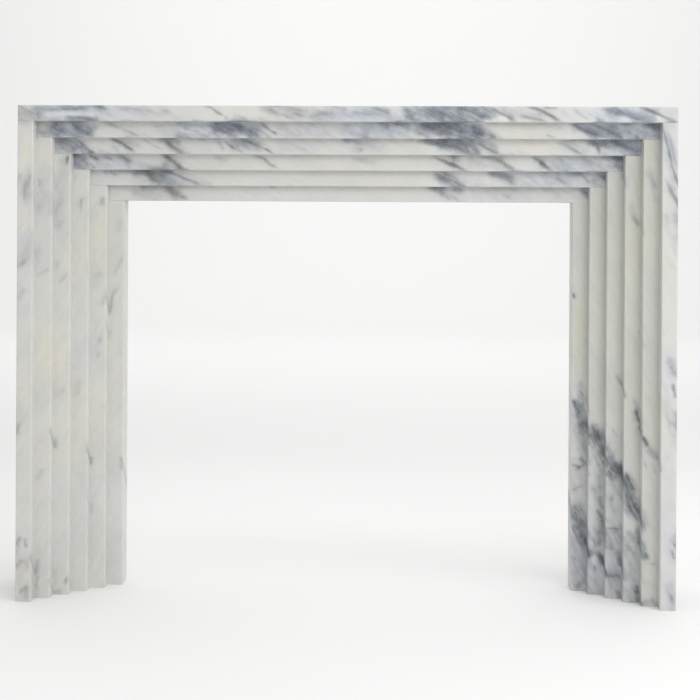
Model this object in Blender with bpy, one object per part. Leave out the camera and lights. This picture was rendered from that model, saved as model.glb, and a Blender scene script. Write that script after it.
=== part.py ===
"""Stepped marble fireplace mantel: a lintel block seated on two jamb blocks.

All three blocks carry the same moulding, a flight of flat steps that falls back from the outside edge to the
fire opening. The lintel's ends are cut in a stair, and each of its steps bears on the matching step of a jamb.

Frame: metres, +Z up, the front faces -Y, and the origin is on the floor at the middle of the width and depth.
"""

import bmesh
import bpy
from mathutils import Vector

# Overall sizes
MANTEL_WIDTH = 1.500
MANTEL_HEIGHT = 1.135

# The moulding: its steps are counted from the outside edge to the opening
STEP_COUNT = 6
STEP_FACE = 0.036
STEP_SETBACK = 0.030
INNER_STEP_THICKNESS = 0.050

# The masonry: softened front edges, and the fine joint between the blocks
EASED_EDGE = 0.0015
EASED_EDGE_FACETS = 2
JOINT_GAP = 0.0003

# How far a cutter reaches past the stone that it cuts
CUTTER_OVERRUN = 0.040

MANTEL_DEPTH = (STEP_COUNT - 1) * STEP_SETBACK + INNER_STEP_THICKNESS
MOULDING_WIDTH = STEP_COUNT * STEP_FACE
FRONT = -MANTEL_DEPTH / 2
BACK = MANTEL_DEPTH / 2

# Two points are one place when they are closer than this, which is above the rounding of 32-bit meshes
SAME_PLACE = JOINT_GAP / 10

# Pale stone, from the lightest ground of each block in the photograph
LINTEL_STONE = (0.62, 0.63, 0.64, 1.0)
LEFT_JAMB_STONE = (0.66, 0.66, 0.63, 1.0)
RIGHT_JAMB_STONE = (0.60, 0.61, 0.59, 1.0)
HONED_ROUGHNESS = 0.35


def clear_scene():
    """Removes whatever the file starts with."""
    for old in list(bpy.data.objects):
        bpy.data.objects.remove(old)


def marble(name, colour):
    """A honed stone material of one plain colour."""
    material = bpy.data.materials.new(name)
    material.use_nodes = True
    shader = material.node_tree.nodes["Principled BSDF"]
    shader.inputs["Base Color"].default_value = colour
    shader.inputs["Roughness"].default_value = HONED_ROUGHNESS
    shader.inputs["Metallic"].default_value = 0.0
    return material


def moulding_outline():
    """The moulding's section as (across, depth) corners, and the corners among them that make its front edges.

    across runs from the outside edge towards the opening, and depth from the front plane to the back.
    """
    outer_edge = (0.0, 0.0)
    outline = [(0.0, MANTEL_DEPTH), outer_edge]
    front_edges = [outer_edge]
    for step in range(1, STEP_COUNT + 1):
        lip = (step * STEP_FACE, (step - 1) * STEP_SETBACK)
        outline.append(lip)
        front_edges.append(lip)
        if step < STEP_COUNT:
            outline.append((step * STEP_FACE, step * STEP_SETBACK))
    outline.append((MOULDING_WIDTH, MANTEL_DEPTH))
    return outline, front_edges


def prism(outline, place, start, end):
    """A bmesh of the outline carried from start to end. place turns (across, depth, along) into a point."""
    mesh = bmesh.new()
    face = mesh.faces.new([mesh.verts.new(place(across, depth, start)) for across, depth in outline])
    grown = bmesh.ops.extrude_face_region(mesh, geom=[face])
    far_end = [item for item in grown["geom"] if isinstance(item, bmesh.types.BMVert)]
    bmesh.ops.translate(mesh, verts=far_end, vec=place(0.0, 0.0, end) - place(0.0, 0.0, start))
    bmesh.ops.recalc_face_normals(mesh, faces=mesh.faces)
    return mesh


def ease_edges(mesh, lines):
    """Rounds each edge of the mesh that runs between the two ends of one of the lines."""

    def is_line(edge, line):
        ends = [vertex.co for vertex in edge.verts]
        return any(
            (ends[0] - first).length < SAME_PLACE and (ends[1] - last).length < SAME_PLACE
            for first, last in (line, reversed(line))
        )

    bmesh.ops.bevel(
        mesh,
        geom=[edge for edge in mesh.edges if any(is_line(edge, line) for line in lines)],
        offset=EASED_EDGE,
        offset_type="OFFSET",
        segments=EASED_EDGE_FACETS,
        profile=0.5,
        affect="EDGES",
    )


def add_object(name, mesh):
    """Puts a finished bmesh into the scene as a named object at the origin."""
    data = bpy.data.meshes.new(name)
    mesh.to_mesh(data)
    mesh.free()
    block = bpy.data.objects.new(name, data)
    bpy.context.scene.collection.objects.link(block)
    return block


def moulding_block(name, place, start, end, eased_ends=False):
    """The moulding carried from start to end, with its front edges eased.

    eased_ends also eases the upright front edge at both ends of the outermost step, as at the mantel's corners.
    """
    outline, front_edges = moulding_outline()
    mesh = prism(outline, place, start, end)
    lines = [(place(*edge, start), place(*edge, end)) for edge in front_edges]
    if eased_ends:
        outer_edge, first_lip = front_edges[:2]
        lines += [(place(*outer_edge, along), place(*first_lip, along)) for along in (start, end)]
    ease_edges(mesh, lines)
    return add_object(name, mesh)


def cut(block, cutter):
    """Takes the cutter's shape out of the block, and hides the cutter."""
    boolean = block.modifiers.new("cut_" + cutter.name, "BOOLEAN")
    boolean.operation = "DIFFERENCE"
    boolean.solver = "EXACT"
    boolean.object = cutter
    cutter.hide_render = True
    cutter.display_type = "WIRE"


def bed_height(step):
    """The height of the bed joint under the lintel's given step, counted from the outside."""
    return MANTEL_HEIGHT - step * STEP_FACE


def joint_stair(gap):
    """The stair that parts lintel from jamb, as (distance in from the mantel's side, height) corners.

    It starts outside the stone. gap moves it up, and in towards the opening.
    """
    corners = [(-CUTTER_OVERRUN, bed_height(1) + gap)]
    for step in range(1, STEP_COUNT):
        corners.append((step * STEP_FACE + gap, bed_height(step) + gap))
        corners.append((step * STEP_FACE + gap, bed_height(step + 1) + gap))
    return corners


def stair_cutter(name, side, corners):
    """A cutter whose outline is (distance in from the mantel's side, height), and which runs through the depth."""

    def place(inward, height, along):
        return Vector((side * (MANTEL_WIDTH / 2 - inward), along, height))

    return add_object(name, prism(corners, place, FRONT - CUTTER_OVERRUN, BACK + CUTTER_OVERRUN))


def lintel():
    """The block across the top: the moulding turned to run level, with a stair cut in each end."""

    def place(across, depth, along):
        return Vector((along, FRONT + depth, MANTEL_HEIGHT - across))

    block = moulding_block("lintel", place, -MANTEL_WIDTH / 2, MANTEL_WIDTH / 2, eased_ends=True)
    stair = joint_stair(JOINT_GAP)
    inner_end = MOULDING_WIDTH + JOINT_GAP
    cutter_bottom = bed_height(STEP_COUNT) - CUTTER_OVERRUN
    under_the_end = [(inner_end, stair[-1][1]), (inner_end, cutter_bottom), (-CUTTER_OVERRUN, cutter_bottom)]
    cut(block, stair_cutter("lintel_left_end_cutter", -1, stair + under_the_end))
    cut(block, stair_cutter("lintel_right_end_cutter", 1, stair + under_the_end))
    block.data.materials.append(marble("lintel_marble", LINTEL_STONE))


def jamb(name, side, colour):
    """One leg: the moulding stood on the floor, with its top cut in a stair to carry the lintel."""

    def place(across, depth, along):
        return Vector((side * (MANTEL_WIDTH / 2 - across), FRONT + depth, along))

    block = moulding_block(name, place, 0.0, MANTEL_HEIGHT)
    stair = joint_stair(0.0)
    inner_end = MOULDING_WIDTH + CUTTER_OVERRUN
    cutter_top = MANTEL_HEIGHT + CUTTER_OVERRUN
    over_the_top = [(inner_end, stair[-1][1]), (inner_end, cutter_top), (-CUTTER_OVERRUN, cutter_top)]
    cut(block, stair_cutter(name + "_top_cutter", side, stair + over_the_top))
    block.data.materials.append(marble(name + "_marble", colour))


clear_scene()
lintel()
jamb("left_jamb", -1, LEFT_JAMB_STONE)
jamb("right_jamb", 1, RIGHT_JAMB_STONE)
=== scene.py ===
"""Stepped marble fireplace mantel, dressed: two veined jambs, and the lintel that they carry.

Metres, +Z up, the front faces -Y. The three blocks are dense meshes that take the place of the frame's nodes.
Their veins are laid step by step, on sheets that run on through the thickness of each block.
"""

import math

import bpy
import numpy as np
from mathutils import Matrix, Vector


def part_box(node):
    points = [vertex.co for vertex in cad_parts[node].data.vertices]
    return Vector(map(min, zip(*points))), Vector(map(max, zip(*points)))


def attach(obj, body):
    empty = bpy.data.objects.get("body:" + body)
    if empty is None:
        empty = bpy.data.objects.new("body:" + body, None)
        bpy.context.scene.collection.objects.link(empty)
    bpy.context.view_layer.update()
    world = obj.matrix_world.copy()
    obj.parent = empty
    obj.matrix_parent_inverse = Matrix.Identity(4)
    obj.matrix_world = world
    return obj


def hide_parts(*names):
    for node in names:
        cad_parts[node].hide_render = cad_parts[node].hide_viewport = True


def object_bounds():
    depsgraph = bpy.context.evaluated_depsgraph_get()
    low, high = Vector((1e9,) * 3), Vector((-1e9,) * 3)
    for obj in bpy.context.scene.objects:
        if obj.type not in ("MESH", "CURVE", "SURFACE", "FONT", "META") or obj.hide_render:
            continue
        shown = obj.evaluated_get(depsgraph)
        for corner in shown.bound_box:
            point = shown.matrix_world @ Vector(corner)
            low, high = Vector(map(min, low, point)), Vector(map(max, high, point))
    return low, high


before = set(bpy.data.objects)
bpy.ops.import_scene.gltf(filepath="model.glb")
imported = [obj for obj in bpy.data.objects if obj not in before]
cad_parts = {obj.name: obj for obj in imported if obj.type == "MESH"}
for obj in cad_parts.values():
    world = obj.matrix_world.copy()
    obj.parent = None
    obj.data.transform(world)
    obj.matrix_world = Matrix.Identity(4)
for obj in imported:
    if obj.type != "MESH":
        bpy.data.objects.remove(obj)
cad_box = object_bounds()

# Left jamb.
# One block of white marble stood on end, with the six steps of the moulding sawn and honed down its front.
# Its stone is the calmest of the three: soft grey flecks that lean up to the right, and warm cream patches.

MANTEL_LOW, MANTEL_HIGH = cad_box
HALF_WIDTH = MANTEL_HIGH.x
HEIGHT = MANTEL_HIGH.z
FRONT = MANTEL_LOW.y
DEPTH = MANTEL_HIGH.y - MANTEL_LOW.y
STEP_COUNT = 6
STEP_FACE = (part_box("left_jamb")[1].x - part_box("left_jamb")[0].x) / STEP_COUNT
STEP_SETBACK = 0.030
JOINT_GAP = 0.0003
EASED_EDGE = 0.0015

# The longest cells of the mesh, on the front and through the depth
FINE_CELL = 0.0029
DEPTH_CELL = 0.0072
# Coordinates are the same when they are closer than this
NEARLY = 0.00002

# How far the sheets of seam run up the block for each metre of depth, and across it on its outer side
LEFT_JAMB_SLANT = (-1.2, 0.3)
# The lean of the grain, from upright towards the opening
LEFT_JAMB_GRAIN = math.radians(28)

# Soft patches of grey: step, half width, strength, path as (height, distance in from the step's outer edge).
# What lies at distances below 0 shows on the outer side of the block.
LEFT_JAMB_CLOUDS = [
    (1, 0.010, 0.22, [(1.098, 0.012), (1.100, 0.022)]),
    (1, 0.010, 0.14, [(0.920, 0.020), (0.985, 0.026)]),
    (1, 0.016, 0.10, [(0.780, 0.010), (0.830, 0.028)]),
    (1, 0.006, 0.20, [(0.694, 0.004), (0.712, 0.014)]),
    (1, 0.005, 0.24, [(0.388, 0.002), (0.404, 0.005)]),
    (1, 0.005, 0.34, [(0.132, 0.006), (0.144, 0.009)]),
    (1, 0.004, 0.34, [(0.127, 0.024), (0.142, 0.022)]),
    (1, 0.016, 0.13, [(0.010, 0.018), (0.100, 0.020)]),
    (1, 0.005, 0.30, [(0.022, 0.012), (0.028, 0.018)]),
    (1, 0.004, 0.28, [(0.012, 0.026), (0.032, 0.025)]),
    (1, 0.005, 0.20, [(0.082, 0.006), (0.094, 0.012)]),
    (1, 0.022, 0.24, [(0.960, -0.014), (0.860, -0.054)]),
    (1, 0.026, 0.20, [(0.420, -0.010), (0.300, -0.054)]),
    (1, 0.018, 0.26, [(0.120, -0.010), (0.060, -0.054)]),
    (2, 0.014, 0.10, [(0.900, 0.010), (0.990, 0.018)]),
    (2, 0.005, 0.24, [(0.954, 0.007), (0.964, 0.008)]),
    (2, 0.005, 0.13, [(0.275, 0.008), (0.296, 0.018)]),
    (2, 0.005, 0.22, [(0.062, 0.004), (0.086, 0.007)]),
    (2, 0.005, 0.30, [(0.028, 0.005), (0.048, 0.008)]),
    (2, 0.014, 0.06, [(0.010, 0.010), (0.110, 0.016)]),
    (3, 0.012, 0.12, [(0.860, 0.006), (1.010, 0.020)]),
    (3, 0.005, 0.09, [(0.766, 0.003), (0.774, 0.006)]),
    (3, 0.009, 0.09, [(0.466, 0.008), (0.476, 0.018)]),
    (3, 0.005, 0.28, [(0.346, 0.002), (0.362, 0.003)]),
    (3, 0.006, 0.10, [(0.030, 0.003), (0.060, 0.005)]),
    (3, 0.004, 0.28, [(0.030, 0.029), (0.038, 0.031)]),
    (3, 0.006, 0.22, [(0.004, 0.002), (0.008, 0.012)]),
    (4, 0.006, 0.11, [(0.458, 0.006), (0.466, 0.012)]),
    (4, 0.005, 0.10, [(0.468, 0.010), (0.492, 0.016)]),
    (5, 0.005, 0.34, [(0.912, 0.025), (0.922, 0.026)]),
    (5, 0.006, 0.12, [(0.676, 0.028), (0.690, 0.031)]),
    (5, 0.005, 0.17, [(0.584, 0.022), (0.592, 0.024)]),
    (5, 0.004, 0.22, [(0.549, 0.016), (0.556, 0.018)]),
    (5, 0.004, 0.28, [(0.296, 0.002), (0.308, 0.004)]),
    (5, 0.005, 0.12, [(0.182, 0.003), (0.196, 0.005)]),
    (6, 0.008, 0.08, [(0.850, 0.022), (0.870, 0.028)]),
    (6, 0.005, 0.14, [(0.668, 0.005), (0.700, 0.009)]),
    (6, 0.004, 0.20, [(0.652, 0.002), (0.664, 0.003)]),
    (6, 0.004, 0.14, [(0.588, 0.003), (0.606, 0.006)]),
    (6, 0.005, 0.22, [(0.280, 0.034), (0.300, 0.034)]),
]

# Thin veins, listed as the patches are
LEFT_JAMB_VEINS = [
    (1, 0.0030, 0.26, [(0.915, 0.014), (0.962, 0.022)]),
    (1, 0.0028, 0.26, [(0.925, 0.024), (0.982, 0.031)]),
    (1, 0.0050, 0.18, [(0.690, -0.060), (0.740, -0.024), (0.766, 0.000), (0.776, 0.016), (0.794, 0.034)]),
    (1, 0.0022, 0.17, [(0.060, 0.004), (0.084, 0.008), (0.094, 0.020), (0.082, 0.028), (0.058, 0.036)]),
    (1, 0.0026, 0.34, [(0.520, -0.060), (0.600, -0.016), (0.640, 0.000)]),
    (1, 0.0026, 0.34, [(0.150, -0.060), (0.210, -0.024), (0.236, -0.002)]),
    (2, 0.0030, 0.13, [(0.742, 0.004), (0.762, 0.034)]),
    (3, 0.0032, 0.55, [(0.998, 0.026), (1.014, 0.029), (1.030, 0.033)]),
    (3, 0.0032, 0.14, [(0.726, 0.008), (0.752, 0.032)]),
    (4, 0.0028, 0.34, [(0.896, 0.015), (0.922, 0.019), (0.926, 0.026)]),
    (5, 0.0060, 0.08, [(0.735, 0.002), (0.745, 0.030)]),
    (6, 0.0028, 0.13, [(0.735, 0.008), (0.785, 0.034)]),
    (6, 0.0030, 0.19, [(0.640, 0.003), (0.690, 0.007), (0.714, 0.024)]),
]

# Patches of tint: middle (height, distance in from the outside), half height, half width, strength.
# They are cream above 0 and lilac below.
LEFT_JAMB_TINTS = [
    (1.030, 0.020, 0.040, 0.012, 0.80),
    (1.020, 0.055, 0.030, 0.016, 0.60),
    (0.835, 0.166, 0.050, 0.014, 0.95),
    (0.830, 0.130, 0.060, 0.010, 0.60),
    (0.870, 0.016, 0.030, 0.010, 0.60),
    (0.780, 0.100, 0.030, 0.009, 0.60),
    (0.560, 0.060, 0.070, 0.018, 0.70),
    (0.540, 0.092, 0.060, 0.014, 0.55),
    (0.490, 0.014, 0.080, 0.012, 0.50),
    (0.200, 0.172, 0.012, 0.006, 0.90),
    (0.380, 0.120, 0.090, 0.060, 0.20),
    (0.070, 0.024, 0.030, 0.012, 0.90),
    (0.040, 0.044, 0.012, 0.008, 0.90),
    (0.935, 0.056, 0.040, 0.012, -0.80),
    (0.820, 0.010, 0.030, 0.010, -0.70),
    (0.580, 0.156, 0.060, 0.012, -0.55),
    (0.272, 0.196, 0.016, 0.012, -0.80),
    (0.250, 0.082, 0.040, 0.010, -0.55),
    (0.060, 0.200, 0.090, 0.016, -0.45),
    (0.560, 0.118, 0.050, 0.008, -0.55),
]

# The stone's colour from its clear ground, at 0, to the heart of its darkest seam, at 1
LEFT_JAMB_COLOURS = [
    (0.00, (0.656, 0.661, 0.636)),
    (0.25, (0.490, 0.498, 0.486)),
    (0.50, (0.320, 0.330, 0.328)),
    (0.75, (0.205, 0.210, 0.210)),
    (1.00, (0.115, 0.118, 0.120)),
]
# What multiplies the colour where the stone is cream and where it is lilac, and how lilac its clouds are
LEFT_JAMB_CREAM = (1.100, 1.042, 0.962)
LEFT_JAMB_LILAC = (0.955, 0.965, 1.030)
LEFT_JAMB_COOLNESS = 0.6


def ruled(marks, cell):
    """Rising coordinates that hit every mark, evenly spaced between two marks and at most a cell apart."""
    marks = np.unique(np.round(marks, 7))
    runs = [np.linspace(a, b, math.ceil((b - a) / cell), endpoint=False) for a, b in zip(marks, marks[1:])]
    return np.append(np.concatenate(runs), marks[-1])


# The moulding: how far in each step starts, how deep its plane lies, and the lines of the mesh through both
STEP_EDGES = [number * STEP_FACE for number in range(STEP_COUNT + 1)]
STEP_PLANES = [number * STEP_SETBACK for number in range(STEP_COUNT)]
ACROSS_LINES = ruled(STEP_EDGES + [EASED_EDGE] + [edge - EASED_EDGE for edge in STEP_EDGES[1:]], FINE_CELL)
DEPTH_LINES = ruled(STEP_PLANES + [plane + EASED_EDGE for plane in STEP_PLANES] + [DEPTH], DEPTH_CELL)


def stone_skin(lines, is_stone):
    """Points and squares of the surface of a block that is built from a lattice of small cells.

    lines holds the lattice's X, Y and Z coordinates, and a cell is stone where is_stone holds at its middle.
    Each square lies between a stone cell and an empty one, and its corners turn so that it faces the
    empty one.
    """
    middles = [(line[1:] + line[:-1]) / 2 for line in lines]
    stone = np.pad(is_stone(*np.meshgrid(*middles, indexing="ij")), 1)
    ring = np.array([(0, 0), (1, 0), (1, 1), (0, 1)])
    squares = []
    for axis in range(3):
        for side in (0, 1):
            cells = np.argwhere(stone & ~np.roll(stone, 1 - 2 * side, axis)) - 1
            corners = np.repeat(cells[:, None, :], 4, axis=1)
            corners[:, :, axis] += side
            turn = ring if side else ring[::-1]
            corners[:, :, (axis + 1) % 3] += turn[:, 0]
            corners[:, :, (axis + 2) % 3] += turn[:, 1]
            squares.append(corners.reshape(-1, 3))
    corners = np.concatenate(squares)
    counts = [len(line) for line in lines]
    used, index = np.unique(np.ravel_multi_index(corners.T, counts), return_inverse=True)
    places = np.unravel_index(used, counts)
    points = np.stack([line[place] for line, place in zip(lines, places)], axis=1)
    return points, index.reshape(-1, 4)


def ease(points, sharp, inward, span=None):
    """Rounds the sharp edge that lies on two planes, by drawing its points in to the middle of the rounding.

    sharp gives two axes and their coordinates on the edge, inward the way into the stone along each, and
    span an axis with the range within which the edge is eased. The middle of a quarter round lies inside
    each plane by its radius, less the radius times the root of a half.
    """
    on_edge = np.ones(len(points), bool)
    for axis, value in sharp.items():
        on_edge &= np.abs(points[:, axis] - value) < NEARLY
    if span:
        axis, low, high = span
        on_edge &= (points[:, axis] > low + NEARLY) & (points[:, axis] < high - NEARLY)
    for axis, way in zip(sharp, inward):
        points[on_edge, axis] += way * EASED_EDGE * (1 - math.sqrt(0.5))


def smooth_noise(u, v, seed):
    """Random heights from -1 to 1 on the corners of unit squares, eased from one corner to the next."""
    period = 256
    heights = np.random.default_rng(seed).uniform(-1, 1, (period, period))
    i, j = np.floor(u).astype(int), np.floor(v).astype(int)
    a, b = u - i, v - j
    a, b = a * a * (3 - 2 * a), b * b * (3 - 2 * b)
    i, j, i_next, j_next = i % period, j % period, (i + 1) % period, (j + 1) % period
    low = heights[i, j] * (1 - a) + heights[i_next, j] * a
    high = heights[i, j_next] * (1 - a) + heights[i_next, j_next] * a
    return low * (1 - b) + high * b


def layered_noise(u, v, seed, layers=4):
    """Layers of smooth noise, each half as wide and half as strong as the last, summed to about -1 to 1."""
    total = sum(smooth_noise(u * 2**n, v * 2**n, seed + n) / 2**n for n in range(layers))
    return total / (2 - 2 ** (1 - layers))


def nearest_on_path(u, w, path):
    """Distance from each place to a chain of straight lines, and how far along it the nearest point is.

    For each line the nearest point is the foot of the perpendicular, kept within the line's ends. The line
    that comes closest wins, and its place along the chain is a share of the chain's length, from 0 to 1.
    """
    lengths = [math.dist(start, end) for start, end in zip(path, path[1:])]
    nearest, share = np.full(len(u), np.inf), np.zeros(len(u))
    for number, ((u_a, w_a), (u_b, w_b)) in enumerate(zip(path, path[1:])):
        run_u, run_w = u_b - u_a, w_b - w_a
        t = np.clip(((u - u_a) * run_u + (w - w_a) * run_w) / lengths[number] ** 2, 0, 1)
        away = np.hypot(u - u_a - t * run_u, w - w_a - t * run_w)
        place = (sum(lengths[:number]) + t * lengths[number]) / sum(lengths)
        share = np.where(away < nearest, place, share)
        nearest = np.minimum(nearest, away)
    return nearest, share


# How near the outer side a sheet starts to turn, and how much steeper it stands and wider its veins are there
SIDE_BLEND = 0.012
SIDE_STEEPNESS = 0.65
SIDE_WIDENING = 1.2

# How far the sheets sway, and the length of that sway on the front and through the depth
SWAY = 0.0030
SWAY_WAVE = 0.040
SWAY_DEPTH = 0.09

# Length and width of one wave of each noise, mostly along and across the grain
STREAK_WAVE = (0.045, 0.009)
FILAMENT_WAVE = (0.060, 0.014)
FILAMENT_THINNESS = 0.09
RAGGED_WAVE = (0.022, 0.010)
SWELL_WAVE = (0.018, 0.018)
MOTTLE_WAVE = (0.012, 0.012)
GROUND_WAVE = (0.09, 0.05)

# The shares of plain grey, streaks, filaments and mottling in a cloud, and how its rim frays and fades
CLOUD_SHARES = (0.88, 0.42, 0.26, 0.34)
CLOUD_FRAYING = 0.55
CLOUD_FADE = 0.75
CLOUD_FADE_POWER = 2.4

# The shares of plain grey, slow noise, streaks and filaments in clear stone
GROUND_SHARES = (0.03, 0.04, 0.03, 0.04)

# How a vein swells in width and in tone, and the strength and steepness of its bell and of its skirts
VEIN_WIDTH_SWELL = 0.40
VEIN_TONE_SWELL = 0.45
VEIN_BELL = (0.80, 0.9)
VEIN_SKIRTS = (0.20, 0.10)
# What is left of a vein at its very ends, and how fast it gains from there
VEIN_END = 0.25
VEIN_TAPER = 4

# The least and the most that one cloud or vein takes from what shows clear
MOST_CLEARED = -0.6
MOST_COVERED = 0.97


def seam_greyness(run, across, depth, clouds, veins, slant, grain, seed):
    """How much seam shows at each point of a block, from 0 in clear stone to 1 in the darkest.

    A point first slides along the slant to the front plane, and is swayed there by slow noise. Points on the
    outer side also slide outwards, so that the side shows more than one line of the sheet. The sheets stand
    steeper there and meet the side at a flat angle, so that their veins look wider and paler.

    Each cloud is a soft capsule round its path, ragged and mottled, with streaks and fine filaments along
    the grain inside it. Each vein is a bell with wide skirts round its path, which swells and fades and thins
    out at its ends. They cover one another as veils do: what is left clear is the product of what each leaves
    clear. The second result is the share of the clouds alone.
    """
    outer = np.clip(1 - across / SIDE_BLEND, 0, 1)
    onwards = slant[0] * depth * (1 - SIDE_STEEPNESS * outer)
    outwards = slant[1] * depth * outer
    widening = 1 + SIDE_WIDENING * outer * np.clip(depth / SIDE_BLEND, 0, 1)
    run_waves, across_waves, depth_waves = run / SWAY_WAVE, across / SWAY_WAVE, depth / SWAY_DEPTH
    u = run - onwards + SWAY * layered_noise(run_waves, across_waves + depth_waves, seed)
    w = across - outwards + SWAY * layered_noise(run_waves, across_waves - depth_waves, seed + 20)
    along = u * math.cos(grain) + w * math.sin(grain)
    over = w * math.cos(grain) - u * math.sin(grain)
    streak = layered_noise(along / STREAK_WAVE[0], over / STREAK_WAVE[1], seed + 40)
    ridge = layered_noise(along / FILAMENT_WAVE[0], over / FILAMENT_WAVE[1], seed + 60, layers=3)
    filament = np.exp(-((ridge / FILAMENT_THINNESS) ** 2))
    ragged = layered_noise(along / RAGGED_WAVE[0], over / RAGGED_WAVE[1], seed + 80)
    swell = layered_noise(along / SWELL_WAVE[0], over / SWELL_WAVE[1], seed + 100, layers=2)
    ground = layered_noise(u / GROUND_WAVE[0], w / GROUND_WAVE[1], seed + 120)
    mottle = layered_noise(u / MOTTLE_WAVE[0], w / MOTTLE_WAVE[1], seed + 160, layers=2)

    def nearest_on_step(step, path):
        slide = slant[0] * (step - 1) * STEP_SETBACK
        edge = (step - 1) * STEP_FACE
        return nearest_on_path(u, w, [(place - slide, edge + inward) for place, inward in path])

    def blended(shares, first, second, third):
        return shares[0] + shares[1] * first + shares[2] * second + shares[3] * third

    unclouded = np.ones(len(run))
    for step, half_width, strength, path in clouds:
        away = nearest_on_step(step, path)[0] / half_width / (1 + CLOUD_FRAYING * ragged)
        texture = blended(CLOUD_SHARES, streak, filament, mottle)
        veil = strength * texture * np.exp(-CLOUD_FADE * away**CLOUD_FADE_POWER)
        unclouded = unclouded * (1 - np.clip(veil, MOST_CLEARED, MOST_COVERED))
    clear = unclouded * (1 - np.clip(blended(GROUND_SHARES, ground, streak, filament), 0, 1))
    for step, half_width, strength, path in veins:
        away, share = nearest_on_step(step, path)
        away = away / half_width / (1 + VEIN_WIDTH_SWELL * swell) / widening
        bell = VEIN_BELL[0] * np.exp(-VEIN_BELL[1] * away**2)
        skirts = VEIN_SKIRTS[0] * np.exp(-VEIN_SKIRTS[1] * away**2)
        fade = np.clip(VEIN_END + VEIN_TAPER * np.minimum(share, 1 - share), 0, 1)
        texture = (1 + VEIN_TONE_SWELL * swell) * fade
        veil = strength * texture * (bell + skirts) / np.sqrt(widening)
        clear = clear * (1 - np.clip(veil, 0, MOST_COVERED))
    return np.clip(1 - clear, 0, 1), np.clip(1 - unclouded, 0, 1)


# The tint of clear stone, how far noise takes it either way, and the length and width of one wave of it
TINT_MIDDLE = 0.15
TINT_SWING = 0.25
TINT_WAVE = (0.11, 0.06)


def stone_tint(run, across, patches, cooling, seed):
    """The tint at each place, from 1 where it is cream to -1 where it is lilac.

    Faint slow noise, less the cooling of the clouds, with a soft oval for each patch.
    """
    noise = layered_noise(run / TINT_WAVE[0], across / TINT_WAVE[1], seed)
    tint = TINT_MIDDLE + TINT_SWING * noise - cooling
    for middle_run, middle_across, half_run, half_across, strength in patches:
        reach = ((run - middle_run) / half_run) ** 2 + ((across - middle_across) / half_across) ** 2
        tint = tint + strength * np.exp(-reach)
    return np.clip(tint, -1, 1)


# Nearly all of Blender's noise lies within this range
NOISE_RANGE = (0.30, 0.70)
# What the noise makes of the seam: fibre and speckle multiply it, and faint clouds are added to it
FIBRE_FACTOR = (0.78, 1.22)
SPECKLE_FACTOR = (0.82, 1.18)
CLOUD_ADDED = (-0.02, 0.03)
# The grey of the crystals' shaded sides, the share of noise that they take, and the roughness of the polish
CRYSTAL_GREY = (0.965, 0.965, 0.965)
CRYSTAL_RANGE = (0.35, 0.65)
POLISH_ROUGHNESS = (0.34, 0.46)
POLISH_SPECULAR = 0.4
FIBRE_BUMP = 0.2
FIBRE_RELIEF = 0.0003


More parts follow.
